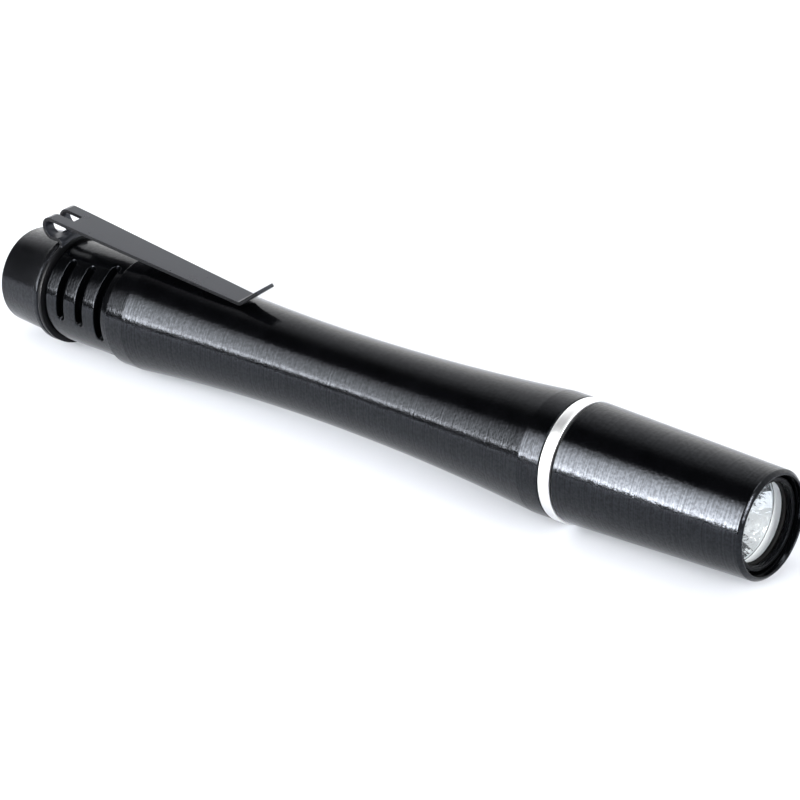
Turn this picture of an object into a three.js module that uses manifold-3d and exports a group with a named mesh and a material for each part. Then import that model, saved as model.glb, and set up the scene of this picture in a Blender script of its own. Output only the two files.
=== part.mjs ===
// A slim pen torch with an ultraviolet emitter, run by two AAA cells in line.
// It lies along X with its light toward +X, its push button toward -X and its pocket clip on top.
// Millimetres, +Z up. The origin is under the middle of the torch, on the surface that it lies on.

import * as THREE from 'three';
import { mergeVertices } from 'three/addons/utils/BufferGeometryUtils.js';
import Module from 'manifold-3d';

const wasm = await Module();
wasm.setup();

// Cells, the size that everything else is built round
const CELL_DIAMETER = 10.5;
const CELL_LENGTH = 44.5;
const CELL_NUB_DIAMETER = 3.8;
const CELL_NUB_HEIGHT = 0.9;
const CELL_EDGE = 0.4;
const CELL_COUNT = 2;

// Clearances
const SLIP = 0.25; // round pieces that pass into each other, on the radius
const SEAT = 0.15; // faces that seat against each other, along the axis

// Barrel
const WAIST_WALL = 1.16;
const WAIST_FROM_REAR_LAND = 34.2;
const REAR_LAND_LENGTH = 3.4;
const FRONT_LAND_LENGTH = 3.4;
const FRONT_LAND_STEP = 1.8; // front land above the front neck
const FRONT_NECK_WALL = 1.2;
const FRONT_NECK_LENGTH = 8.7;
const FRONT_GROOVE_START = 3.0;
const FRONT_GROOVE_WIDTH = 1.5;
const FRONT_GROOVE_DEPTH = 0.7;
const CELL_REACH_PAST_BARREL = 3.2; // tip of the front cell beyond the front land
const LAND_CHAMFER = 0.25;
const ARC_STEPS = 10;

// Slotted grip behind the barrel's rear land
const GRIP_LENGTH = 13.3;
const GRIP_WALL = 1.75; // outside the tail thread
const GRIP_STEP = 0.6; // rear land above the grip
const SLOT_WIDTH = 1.5;
const SLOT_DEPTH = 1.2;
const SLOT_PITCH = 3.9;
const SLOT_FIRST = 3.2; // from the grip's rear face to the first slot's middle
const SLOT_HALF_ANGLES = [33, 33, 44].map(THREE.MathUtils.degToRad);
const SLOT_SETS = 3;

// Tail cap and its thread
const THREAD_RELIEF = 0.45; // tail thread outside the cell bore
const THREAD_LENGTH = 4.4;
const THREAD_RUNOUT = 0.8;
const TAIL_NECK_WALL = 0.65;
const TAIL_CONE_LENGTH = 8.0;
const TAIL_END_WALL = 2.25; // cone wall at the tail end, outside the switch bore
const TAIL_CONE_RISE = 0.45;
const TAIL_EDGE_ROUND = 0.5;
const TAIL_FLOOR = 1.4;
const FLANGE_WIDTH = 1.1;
const FLANGE_STEP = 0.65; // flange above the grip
const FLANGE_CHAMFER = 0.2;

// Push button and switch
const BUTTON_RADIUS = 3.7;
const BUTTON_PROUD = 1.2;
const BUTTON_DOME = 0.5;
const BUTTON_FLANGE = 0.8;
const BUTTON_FLANGE_LIP = 0.9;
const BUTTON_TRAVEL = 1.3;
const PLUNGER_RADIUS = 1.6;
const PLUNGER_HEAD_RADIUS = 2.7;
const PLUNGER_HEAD = 0.8;
const PLUNGER_PIN_RADIUS = 0.8;
const PLUNGER_PIN = 1.2;
const SWITCH_WALL = 0.8;
const SWITCH_SPRING_ROOM = 4.5;
const SWITCH_BASE = 1.0;
const RETAINER_WIDTH = 1.0;
const RETAINER_WALL = 1.4;
const CONTACT_PLATE = 0.5;
const REAR_SPRING_REACH = 2.9; // out of the tail neck to the rear cell

// Trim ring
const TRIM_WIDTH = 1.8;
const TRIM_PROUD = 0.05;
const TRIM_CHAMFER = 0.15;

// Head
const HEAD_LENGTH = 29.0;
const HEAD_REAR_WALL = 1.36;
const HEAD_CHAMFER = 0.3;
const LENS_DIAMETER = 12.2;
const LENS_THICKNESS = 1.2;
const LENS_BEVEL = 0.2;
const LENS_RECESS = 2.8; // lens front behind the rim
const LENS_LEDGE = 0.4;
const RIM_WALL = 1.05;
const BEZEL_WIDTH = 0.9;
const BEZEL_LIP = 0.6;

// Reflector and light module
const REFLECTOR_FOCUS = 1.1;
const REFLECTOR_MOUTH = 5.3;
const REFLECTOR_THROAT = 2.3;
const REFLECTOR_WALL = 0.45;
const REFLECTOR_FLANGE = 0.9;
const GASKET_THICKNESS = 1.0;
const GASKET_WALL = 0.6;
const LED_SIZE = 3.45;
const LED_BASE = 0.7;
const LED_DOME_RADIUS = 1.3;
const BOARD_THICKNESS = 0.8;
const BOARD_RADIUS = 4.6;
const PILL_LEDGE = 0.35;
const PILL_PLATE = 3.0;
const PILL_NOSE = 1.0;
const PILL_WALL = 1.1;
const LEAD_RADIUS = 0.45;
const LEAD_OFFSET = 3.4;
const DRIVER_THICKNESS = 1.0;
const DRIVER_SETBACK = 1.2; // driver board inside the pill's rear edge
const COIL_RADIUS = 1.2;
const COIL_HEIGHT = 1.6;
const COIL_OFFSET = 1.6; // coil's middle above the board's middle
const CHIP_SIZE = 1.8;
const CHIP_HEIGHT = 0.7;
const CHIP_OFFSET = 1.6; // chips' middles below the board's middle
const CHIP_SPREAD = 1.35; // and to each side of it

// Seals
const SEAL_RADIUS = 0.35;
const SEAL_SIDES = 8;

// Springs
const SPRING_WIRE = 0.28; // wire radius
const SPRING_STEPS = 8;
const SPRING_SIDES = 5;
const SWITCH_SPRING_TURNS = 3.5;
const REAR_SPRING_TURNS = 3.5;
const FRONT_SPRING_TURNS = 5;
const SPRING_TIP_RADIUS = 1.5;

// Pocket clip
const CLIP_THICKNESS = 0.6;
const CLIP_WIDTH = 5.3;
const CLIP_TIP_WIDTH = 3.35;
const CLIP_LOOP_RADIUS = 1.5;
const CLIP_LOOP_SETBACK = 1.5; // loop's middle behind the clip ring's middle
const CLIP_RISE = 0.18; // strip's underside above the flange
const CLIP_BEND_RADIUS = 0.6;
const CLIP_LENGTH = 35.2; // clip ring's middle to the bend at the tip
const CLIP_TIP_GAP = 0.2;
const CLIP_LIP_LENGTH = 4.2;
const CLIP_LIP_ANGLE = THREE.MathUtils.degToRad(24);
const CLIP_WINDOW_WIDTH = 1.7;
const CLIP_WINDOW_REACH = 1.55; // window's front end past the clip ring's middle
const CLIP_RING_WALL = 1.45;
const BEND_STEPS = 4;
const LOOP_STEPS = 14;

const SEGMENTS = 32;
const FACET_TURN = Math.PI / SEGMENTS; // lays a flat facet on top and underneath

// Radii, worked outward from the cells
const cellRadius = CELL_DIAMETER / 2;
const bore = cellRadius + SLIP;
const waistRadius = bore + WAIST_WALL;
const frontNeck = bore + FRONT_NECK_WALL;
const frontLand = frontNeck + FRONT_LAND_STEP;
const headSocket = frontNeck + SLIP;
const headRearRadius = headSocket + HEAD_REAR_WALL;
const trimRadius = frontLand + TRIM_PROUD;
const threadBore = bore + THREAD_RELIEF;
const tailNeck = threadBore - SLIP;
const capBore = tailNeck - TAIL_NECK_WALL;
const switchRadius = capBore - SLIP;
const gripRadius = threadBore + GRIP_WALL;
const rearLand = gripRadius + GRIP_STEP;
const flangeRadius = gripRadius + FLANGE_STEP;
const tailEndRadius = capBore + TAIL_END_WALL;
const tailConeRadius = tailEndRadius + TAIL_CONE_RISE;
const lensRadius = LENS_DIAMETER / 2;
const lensBore = lensRadius + SLIP;
const rimRadius = lensBore + RIM_WALL;
const reflectorBore = lensBore - LENS_LEDGE;
const pillBore = reflectorBore + PILL_LEDGE;
const pillRadius = pillBore - SLIP;
const clipRingInner = flangeRadius - CLIP_RING_WALL;

// Stations along the axis, from the tail end forward
const flangeFront = TAIL_CONE_LENGTH + FLANGE_WIDTH;
const clipRingRear = flangeFront + SEAT;
const clipRingFront = clipRingRear + CLIP_THICKNESS;
const clipRingMiddle = (clipRingRear + clipRingFront) / 2;
const barrelRear = clipRingFront + SEAT;
const gripFront = barrelRear + GRIP_LENGTH;
const neckFront = barrelRear + THREAD_LENGTH;
const rearCellStart = neckFront + REAR_SPRING_REACH;
const cellPitch = CELL_LENGTH + SEAT;
const frontCellTip = rearCellStart + (CELL_COUNT - 1) * cellPitch + CELL_LENGTH;
const barrelFront = frontCellTip - CELL_REACH_PAST_BARREL;
const waistStation = gripFront + REAR_LAND_LENGTH + WAIST_FROM_REAR_LAND;
const frontLandStart = barrelFront - FRONT_LAND_LENGTH;
const frontNeckEnd = barrelFront + FRONT_NECK_LENGTH;
const trimRear = barrelFront + SEAT;
const headRear = trimRear + TRIM_WIDTH + SEAT;
const rim = headRear + HEAD_LENGTH;
const lensFront = rim - LENS_RECESS;
const lensRear = lensFront - LENS_THICKNESS;
const lensLedge = lensRear - SEAT;
const reflectorFront = lensLedge;
const reflectorVertex = reflectorFront - REFLECTOR_MOUTH ** 2 / (4 * REFLECTOR_FOCUS);
const reflectorRear = reflectorVertex + REFLECTOR_THROAT ** 2 / (4 * REFLECTOR_FOCUS);
const gasketFront = reflectorRear - SEAT;
const boardFront = gasketFront - GASKET_THICKNESS - SEAT;
const boardRear = boardFront - BOARD_THICKNESS;
const pillFront = boardRear - SEAT;
const pillShoulder = pillFront - PILL_NOSE;
const headPillStop = pillShoulder + SEAT;
const pillRear = frontNeckEnd + SEAT;
const headSocketEnd = pillRear;
const pillFloor = pillFront - PILL_PLATE;
const driverRear = pillRear + DRIVER_SETBACK;
const driverFront = driverRear + DRIVER_THICKNESS;

const torch = new THREE.Group();
torch.name = 'uv_torch';
torch.position.set((BUTTON_PROUD - rim) / 2, 0, trimRadius * Math.cos(FACET_TURN));

// Merges the vertices that faces share and drops the faces that shrink to nothing on the axis.
function weld(geometry) {
  geometry.deleteAttribute('normal');
  geometry.deleteAttribute('uv');
  const merged = mergeVertices(geometry, 1e-4);
  const corners = merged.index.array;
  const kept = [];
  for (let i = 0; i < corners.length; i += 3) {
    const [a, b, c] = corners.slice(i, i + 3);
    if (a !== b && b !== c && c !== a) {
      kept.push(a, b, c);
    }
  }
  merged.setIndex(kept);
  return merged;
}

function solid(geometry) {
  const welded = weld(geometry);
  return new wasm.Manifold(new wasm.Mesh({
    numProp: 3,
    vertProperties: new Float32Array(welded.attributes.position.array),
    triVerts: new Uint32Array(welded.index.array),
  }));
}

function geometryOf(body) {
  const { vertProperties, triVerts } = body.getMesh();
  const geometry = new THREE.BufferGeometry();
  geometry.setAttribute('position', new THREE.BufferAttribute(vertProperties, 3));
  geometry.setIndex(new THREE.BufferAttribute(triVerts, 1));
  return geometry;
}

function addPiece(name, geometry, [color, roughness, metalness]) {
  geometry.computeVertexNormals();
  const mesh = new THREE.Mesh(geometry, new THREE.MeshStandardMaterial({ color, roughness, metalness }));
  mesh.name = name;
  torch.add(mesh);
}

// A turned solid. The outline is a list of [station, radius], walked with the material on its right.
function turned(outline, segments = SEGMENTS) {
  const profile = outline.map(([station, radius]) => new THREE.Vector2(radius, station));
  const lathe = new THREE.LatheGeometry(profile, segments, Math.PI / segments);
  return lathe.rotateZ(-Math.PI / 2);
}

// A turned tube between two stations, with its outer edges chamfered.
function ring(rear, front, inner, outer, chamfer = 0) {
  const edge = chamfer > 0
    ? [[rear, outer - chamfer], [rear + chamfer, outer], [front - chamfer, outer], [front, outer - chamfer]]
    : [[rear, outer], [front, outer]];
  return turned([[rear, inner], ...edge, [front, inner], [rear, inner]]);
}

// A turned solid whose outline starts and ends on the axis.
function rod(outline) {
  const last = outline.length - 1;
  return turned([[outline[0][0], 0], ...outline, [outline[last][0], 0]]);
}

function cylinder(rear, front, radius, y = 0, z = 0) {
  return rod([[rear, radius], [front, radius]]).translate(0, y, z);
}

function box(rear, front, width, height, y = 0, z = 0) {
  const block = new THREE.BoxGeometry(front - rear, width, height);
  return block.translate((rear + front) / 2, y, z);
}

function seal(station, radius) {
  const loop = [];
  for (let i = 0; i <= SEAL_SIDES; i++) {
    const turn = -2 * Math.PI * (i / SEAL_SIDES);
    loop.push([station + SEAL_RADIUS * Math.sin(turn), radius + SEAL_RADIUS * Math.cos(turn)]);
  }
  return turned(loop.reverse());
}

// Points of an arc about a centre, from one angle to another.
function arcPoints(centreX, centreY, radius, from, to, steps) {
  return Array.from({ length: steps + 1 }, (_, i) => {
    const angle = from + (to - from) * (i / steps);
    return [centreX + radius * Math.cos(angle), centreY + radius * Math.sin(angle)];
  });
}

// The waist is two arcs that share a level tangent at its thinnest place.
function waistArcRadius(land, run) {
  const rise = land - waistRadius;
  return (run ** 2 + rise ** 2) / (2 * rise);
}

function waistRadiusAt(station) {
  const behind = station < waistStation;
  const run = behind ? WAIST_FROM_REAR_LAND : frontLandStart - waistStation;
  const arc = waistArcRadius(behind ? rearLand : frontLand, run);
  return waistRadius + arc - Math.sqrt(arc ** 2 - (station - waistStation) ** 2);
}

function waistOutline() {
  const start = waistStation - WAIST_FROM_REAR_LAND;
  const stations = [];
  for (let i = 0; i < ARC_STEPS; i++) {
    stations.push(start + WAIST_FROM_REAR_LAND * (i / ARC_STEPS));
  }
  for (let i = 0; i <= ARC_STEPS; i++) {
    stations.push(waistStation + (frontLandStart - waistStation) * (i / ARC_STEPS));
  }
  return stations.map((station) => [station, waistRadiusAt(station)]);
}

// One milled slot: an arc-shaped groove with round ends, cut in from outside the grip.
function slotCutter(station, halfAngle, middle) {
  const floor = gripRadius - SLOT_DEPTH;
  const outside = gripRadius + SLOT_DEPTH;
  const sector = new THREE.Shape();
  sector.absarc(0, 0, outside, middle - halfAngle, middle + halfAngle, false);
  sector.absarc(0, 0, floor, middle + halfAngle, middle - halfAngle, true);
  sector.closePath();
  const groove = new THREE.ExtrudeGeometry(sector, {
    depth: SLOT_WIDTH, bevelEnabled: false, curveSegments: 10,
  });
  // The sector is drawn across the axis: its X becomes -Y, its Y becomes Z and its depth X.
  groove.applyMatrix4(new THREE.Matrix4().makeBasis(
    new THREE.Vector3(0, -1, 0), new THREE.Vector3(0, 0, 1), new THREE.Vector3(-1, 0, 0),
  ));
  groove.translate(station + SLOT_WIDTH / 2, 0, 0);
  let cutter = solid(groove);
  for (const side of [-1, 1]) {
    const angle = middle + side * halfAngle;
    const end = new THREE.CylinderGeometry(SLOT_WIDTH / 2, SLOT_WIDTH / 2, outside - floor, 12);
    end.translate(0, (floor + outside) / 2, 0);
    end.rotateX(Math.PI - angle);
    end.translate(station, 0, 0);
    cutter = cutter.add(solid(end));
  }
  return cutter;
}

function makeBarrel() {
  const grooveRear = barrelFront + FRONT_GROOVE_START;
  const grooveFront = grooveRear + FRONT_GROOVE_WIDTH;
  const groove = frontNeck - FRONT_GROOVE_DEPTH;
  const threadEnd = neckFront + THREAD_RUNOUT;
  let body = solid(turned([
    [barrelRear, threadBore],
    [barrelRear, gripRadius - LAND_CHAMFER],
    [barrelRear + LAND_CHAMFER, gripRadius],
    [gripFront, gripRadius],
    [gripFront, rearLand - LAND_CHAMFER],
    [gripFront + LAND_CHAMFER, rearLand],
    ...waistOutline(),
    [barrelFront - LAND_CHAMFER, frontLand],
    [barrelFront, frontLand - LAND_CHAMFER],
    [barrelFront, frontNeck],
    [grooveRear, frontNeck],
    [grooveRear, groove],
    [grooveFront, groove],
    [grooveFront, frontNeck],
    [frontNeckEnd, frontNeck],
    [frontNeckEnd, bore],
    [threadEnd + THREAD_RELIEF, bore],
    [threadEnd, threadBore],
    [barrelRear, threadBore],
  ]));
  for (let set = 0; set < SLOT_SETS; set++) {
    // The sets sit evenly round the grip, with the clip over a gap between two of them.
    const middle = Math.PI / 2 + (2 * Math.PI * (set + 0.5)) / SLOT_SETS;
    SLOT_HALF_ANGLES.forEach((halfAngle, i) => {
      body = body.subtract(slotCutter(barrelRear + SLOT_FIRST + i * SLOT_PITCH, halfAngle, middle));
    });
  }
  return geometryOf(body);
}

function makeTailCap() {
  const buttonHole = BUTTON_RADIUS + SLIP;
  const corner = arcPoints(TAIL_EDGE_ROUND, tailEndRadius - TAIL_EDGE_ROUND, TAIL_EDGE_ROUND,
    Math.PI, Math.PI / 2, BEND_STEPS);
  return turned([
    [0, buttonHole],
    ...corner,
    [TAIL_CONE_LENGTH, tailConeRadius],
    [TAIL_CONE_LENGTH, flangeRadius - FLANGE_CHAMFER],
    [TAIL_CONE_LENGTH + FLANGE_CHAMFER, flangeRadius],
    [flangeFront - FLANGE_CHAMFER, flangeRadius],
    [flangeFront, flangeRadius - FLANGE_CHAMFER],
    [flangeFront, tailNeck],
    [neckFront, tailNeck],
    [neckFront, capBore],
    [TAIL_FLOOR, capBore],
    [TAIL_FLOOR, buttonHole],
    [0, buttonHole],
  ]);
}

// Switch stack inside the tail cap, from the button forward
const buttonFlangeRear = TAIL_FLOOR + SEAT;
const buttonFront = buttonFlangeRear + BUTTON_FLANGE;
const plungerRear = buttonFront + SEAT;
const switchRear = buttonFront + BUTTON_TRAVEL + SLIP;
const plungerHeadRear = switchRear + SWITCH_WALL + SEAT;
const plungerHeadFront = plungerHeadRear + PLUNGER_HEAD;
const switchBaseRear = plungerHeadFront + SWITCH_SPRING_ROOM;
const switchFront = switchBaseRear + SWITCH_BASE;
const retainerRear = switchFront + SEAT;
const contactFront = retainerRear + CONTACT_PLATE;
const switchRoom = switchRadius - SWITCH_WALL;

function makeButton() {
  const edge = -BUTTON_PROUD + BUTTON_DOME;
  return rod([
    [-BUTTON_PROUD, BUTTON_RADIUS - 2 * BUTTON_DOME],
    [-BUTTON_PROUD + BUTTON_DOME / 4, BUTTON_RADIUS - BUTTON_DOME],
    [edge, BUTTON_RADIUS],
    [buttonFlangeRear, BUTTON_RADIUS],
    [buttonFlangeRear, BUTTON_RADIUS + BUTTON_FLANGE_LIP],
    [buttonFront, BUTTON_RADIUS + BUTTON_FLANGE_LIP],
  ]);
}

function makePlunger() {
  return rod([
    [plungerRear, PLUNGER_RADIUS],
    [plungerHeadRear, PLUNGER_RADIUS],
    [plungerHeadRear, PLUNGER_HEAD_RADIUS],
    [plungerHeadFront, PLUNGER_HEAD_RADIUS],
    [plungerHeadFront, PLUNGER_PIN_RADIUS],
    [plungerHeadFront + PLUNGER_PIN, PLUNGER_PIN_RADIUS],
  ]);
}

function makeSwitchHousing() {
  const hole = PLUNGER_RADIUS + SLIP;
  return turned([
    [switchRear, hole],
    [switchRear, switchRadius],
    [switchFront, switchRadius],
    [switchFront, switchRoom],
    [switchRear + SWITCH_WALL, switchRoom],
    [switchRear + SWITCH_WALL, hole],
    [switchRear, hole],
  ]);
}

function makeCell(start) {
  const shoulder = start + CELL_LENGTH - CELL_NUB_HEIGHT;
  const nub = CELL_NUB_DIAMETER / 2;
  return rod([
    [start, cellRadius - 2 * CELL_EDGE],
    [start + CELL_EDGE, cellRadius],
    [shoulder - CELL_EDGE, cellRadius],
    [shoulder, cellRadius - CELL_EDGE],
    [shoulder, nub],
    [start + CELL_LENGTH, nub],
  ]);
}

function makeHead() {
  return turned([
    [headRear, headSocket],
    [headRear, headRearRadius - HEAD_CHAMFER],
    [headRear + HEAD_CHAMFER, headRearRadius],
    [rim - HEAD_CHAMFER, rimRadius],
    [rim, rimRadius - HEAD_CHAMFER],
    [rim, lensBore],
    [lensLedge, lensBore],
    [lensLedge, reflectorBore],
    [headPillStop, reflectorBore],
    [headPillStop, pillBore],
    [headSocketEnd, pillBore],
    [headSocketEnd, headSocket],
    [headRear, headSocket],
  ]);
}

function makeLens() {
  return rod([
    [lensRear, lensRadius - LENS_BEVEL],
    [lensRear + LENS_BEVEL, lensRadius],
    [lensFront - LENS_BEVEL, lensRadius],
    [lensFront, lensRadius - LENS_BEVEL],
  ]);
}

// A paraboloid cup with a front flange and an open throat for the emitter.
function makeReflector() {
  const flange = reflectorBore - SLIP;
  const radii = Array.from({ length: ARC_STEPS + 1 }, (_, i) => (
    REFLECTOR_THROAT + (REFLECTOR_MOUTH - REFLECTOR_THROAT) * (i / ARC_STEPS)
  ));
  const station = (radius) => reflectorVertex + radius ** 2 / (4 * REFLECTOR_FOCUS);
  const flangeRear = reflectorFront - SEAT - REFLECTOR_FLANGE;
  const cup = radii.map((radius) => [station(radius) - SEAT, radius]);
  const back = radii
    .filter((radius) => station(radius) - SEAT < flangeRear && radius + REFLECTOR_WALL < flange)
    .map((radius) => [station(radius) - SEAT, radius + REFLECTOR_WALL]);
  const neck = back[back.length - 1][1];
  return turned([
    cup[0],
    ...back,
    [flangeRear, neck],
    [flangeRear, flange],
    [reflectorFront - SEAT, flange],
    ...cup.reverse(),
  ]);
}

function makeLed() {
  const baseRear = boardFront + SEAT;
  const baseFront = baseRear + LED_BASE;
  const dome = arcPoints(baseFront, 0, LED_DOME_RADIUS, Math.PI / 2, 0, BEND_STEPS * 2);
  const body = rod([[baseFront - LED_BASE / 2, LED_DOME_RADIUS], ...dome.slice(0, -1)]);
  return geometryOf(solid(box(baseRear, baseFront, LED_SIZE, LED_SIZE)).add(solid(body)));
}

function makePill() {
  const cavity = pillRadius - PILL_WALL;
  const nose = reflectorBore - SLIP;
  let body = solid(turned([
    [pillRear, cavity],
    [pillRear, pillRadius],
    [pillShoulder, pillRadius],
    [pillShoulder, nose],
    [pillFront, nose],
    [pillFront, 0],
    [pillFloor, 0],
    [pillFloor, cavity],
    [pillRear, cavity],
  ]));
  for (const side of [-1, 1]) {
    const hole = cylinder(pillFloor - SLIP, pillFront + SLIP, LEAD_RADIUS + SLIP, side * LEAD_OFFSET);
    body = body.subtract(solid(hole));
  }
  return geometryOf(body);
}

function makeDriver() {
  const board = pillRadius - PILL_WALL - SLIP;
  const sunk = DRIVER_THICKNESS / 2;
  const coil = cylinder(driverFront - sunk, driverFront + COIL_HEIGHT, COIL_RADIUS, 0, COIL_OFFSET);
  let body = solid(cylinder(driverRear, driverFront, board)).add(solid(coil));
  for (const side of [-1, 1]) {
    const chip = box(driverFront - sunk, driverFront + CHIP_HEIGHT, CHIP_SIZE, CHIP_SIZE / 2,
      side * CHIP_SPREAD, -CHIP_OFFSET);
    body = body.add(solid(chip));
  }
  return geometryOf(body);
}

// A coil spring along the axis, wound as one tube whose coil radius may change from end to end.
function spring(name, rear, front, turns, rearRadius, frontRadius) {
  const count = Math.round(turns * SPRING_STEPS);
  const start = rear + SPRING_WIRE;
  const run = front - rear - 2 * SPRING_WIRE;
  const centres = [];
  const points = [];
  for (let i = 0; i <= count; i++) {
    const part = i / count;
    const angle = (2 * Math.PI * i) / SPRING_STEPS;
    const radius = rearRadius + (frontRadius - rearRadius) * part;
    const out = new THREE.Vector3(0, Math.cos(angle), Math.sin(angle));
    const centre = out.clone().multiplyScalar(radius).setX(start + run * part);
    centres.push(centre);
    for (let side = 0; side < SPRING_SIDES; side++) {
      const around = (2 * Math.PI * side) / SPRING_SIDES;
      const point = centre.clone().addScaledVector(out, SPRING_WIRE * Math.cos(around));
      point.x += SPRING_WIRE * Math.sin(around);
      points.push(point.x, point.y, point.z);
    }
  }
  const faces = [];
  for (let i = 0; i < count; i++) {
    for (let side = 0; side < SPRING_SIDES; side++) {
      const next = (side + 1) % SPRING_SIDES;
      const [a, b] = [i * SPRING_SIDES + side, i * SPRING_SIDES + next];
      faces.push(a, a + SPRING_SIDES, b, b, a + SPRING_SIDES, b + SPRING_SIDES);
    }
  }
  const last = count * SPRING_SIDES;
  for (let side = 1; side < SPRING_SIDES - 1; side++) {
    faces.push(0, side, side + 1);
    faces.push(last, last + side + 1, last + side);
  }
  const geometry = new THREE.BufferGeometry();
  geometry.setAttribute('position', new THREE.Float32BufferAttribute(points, 3));
  geometry.setIndex(faces);
  console.log(`${name}: least gap between its turns ${leastGap(centres).toFixed(2)} mm`);
  return geometry;
}

// Least clear distance between points of a spring's centre line that are half a turn or more apart.
function leastGap(centres) {
  let least = Infinity;
  for (let i = 0; i < centres.length; i++) {
    for (let j = i + SPRING_STEPS / 2; j < centres.length; j++) {
      least = Math.min(least, centres[i].distanceTo(centres[j]));
    }
  }
  return least - 2 * SPRING_WIRE;
}

// Centre line of the clip's strip seen from the side: up from its ring, back, round the loop, along the
// blade and up the lip. Each point is [station, height above the axis, direction of travel].
function clipPath() {
  const half = CLIP_THICKNESS / 2;
  const low = flangeRadius + CLIP_RISE + half;
  const loopX = clipRingMiddle - CLIP_LOOP_SETBACK;
  const loopZ = low + CLIP_LOOP_RADIUS;
  const tipX = clipRingMiddle + CLIP_LENGTH;
  const tipZ = waistRadiusAt(tipX) + CLIP_TIP_GAP + half;
  const reach = Math.hypot(tipX - loopX, tipZ - loopZ);
  const bladeStart = Math.atan2(tipZ - loopZ, tipX - loopX) + Math.acos(CLIP_LOOP_RADIUS / reach);
  const bladeTravel = bladeStart - Math.PI / 2;
  const path = [[clipRingMiddle, (clipRingInner + flangeRadius) / 2, Math.PI / 2]];
  const bend = (x, z, radius, from, to, steps, turnSide) => {
    for (let i = 0; i <= steps; i++) {
      const angle = from + (to - from) * (i / steps);
      path.push([x + radius * Math.cos(angle), z + radius * Math.sin(angle), angle + turnSide * Math.PI / 2]);
    }
  };
  const bendX = clipRingMiddle - CLIP_BEND_RADIUS;
  bend(bendX, low - CLIP_BEND_RADIUS, CLIP_BEND_RADIUS, 0, Math.PI / 2, BEND_STEPS, 1);
  bend(loopX, loopZ, CLIP_LOOP_RADIUS, 1.5 * Math.PI, bladeStart, LOOP_STEPS, -1);
  const tipTravel = (bladeTravel + CLIP_LIP_ANGLE) / 2;
  path.push([tipX, tipZ, tipTravel]);
  const lipX = tipX + CLIP_LIP_LENGTH * Math.cos(CLIP_LIP_ANGLE);
  const lipZ = tipZ + CLIP_LIP_LENGTH * Math.sin(CLIP_LIP_ANGLE);
  path.push([lipX, lipZ, CLIP_LIP_ANGLE]);
  return { path, loopX, loopZ, tipX, lipX };
}

// Extrudes a side outline of [station, height] across Y, centred on the axis plane.
function acrossY(outline, width) {
  const shape = new THREE.Shape(outline.map(([x, z]) => new THREE.Vector2(x, z)));
  const plate = new THREE.ExtrudeGeometry(shape, { depth: width, bevelEnabled: false });
  return plate.rotateX(Math.PI / 2).translate(0, width / 2, 0);
}

function makeClip() {
  const { path, loopX, loopZ, tipX, lipX } = clipPath();
  const half = CLIP_THICKNESS / 2;
  const offset = (side) => path.map(([x, z, travel]) => (
    [x - side * half * Math.sin(travel), z + side * half * Math.cos(travel)]
  ));
  let strip = solid(acrossY([...offset(1), ...offset(-1).reverse()], CLIP_WIDTH));
  // The blade narrows evenly from the loop to its tip and keeps that width along the lip.
  const loopBack = loopX - CLIP_LOOP_RADIUS - CLIP_THICKNESS;
  const plan = new THREE.Shape([
    [loopBack, -CLIP_WIDTH / 2], [clipRingFront, -CLIP_WIDTH / 2], [tipX, -CLIP_TIP_WIDTH / 2],
    [lipX + CLIP_THICKNESS, -CLIP_TIP_WIDTH / 2], [lipX + CLIP_THICKNESS, CLIP_TIP_WIDTH / 2],
    [tipX, CLIP_TIP_WIDTH / 2], [clipRingFront, CLIP_WIDTH / 2], [loopBack, CLIP_WIDTH / 2],
  ].map(([x, y]) => new THREE.Vector2(x, y)));
  const tall = loopZ + 2 * CLIP_LOOP_RADIUS;
  strip = strip.intersect(solid(new THREE.ExtrudeGeometry(plan, { depth: tall, bevelEnabled: false })));
  // The window that splits the loop into two legs ends on the blade and on the lower run.
  const windowFront = clipRingMiddle + CLIP_WINDOW_REACH;
  const windowTop = box(loopBack, windowFront, CLIP_WINDOW_WIDTH, tall, 0, loopZ + tall / 2);
  const windowLow = box(loopBack, loopX, CLIP_WINDOW_WIDTH, tall, 0, loopZ - tall / 2 + SEAT);
  strip = strip.subtract(solid(windowTop)).subtract(solid(windowLow));
  const washer = solid(ring(clipRingRear, clipRingFront, clipRingInner, flangeRadius));
  return geometryOf(washer.add(strip));
}

// Finishes: colour, roughness, metalness
const BLACK_ANODISED = [0x17181b, 0.32, 0.7];
const TAIL_BLACK = [0x1a1b1d, 0.42, 0.6];
const BRIGHT_ALUMINIUM = [0xe4e6ea, 0.2, 1];
const CLIP_BLACK = [0x202227, 0.3, 0.5];
const CHROME = [0xf2f4f7, 0.05, 1];
const GLASS = [0xe8f0f2, 0.03, 0];
const RUBBER = [0x141414, 0.7, 0];
const BRASS = [0xc2a053, 0.3, 1];
const SPRING_STEEL = [0xc8cacc, 0.3, 1];
const BLACK_PLASTIC = [0x161718, 0.5, 0];
const CIRCUIT_GREEN = [0x1f5a3a, 0.55, 0];
const BOARD_WHITE = [0xe9e9e4, 0.5, 0];
const EMITTER = [0xd9d2e6, 0.25, 0];
const CELL_WRAP = [0x3a4048, 0.35, 0.3];
const LEAD_RED = [0xa32420, 0.45, 0];
const LEAD_BLACK = [0x1a1a1a, 0.45, 0];

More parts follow.
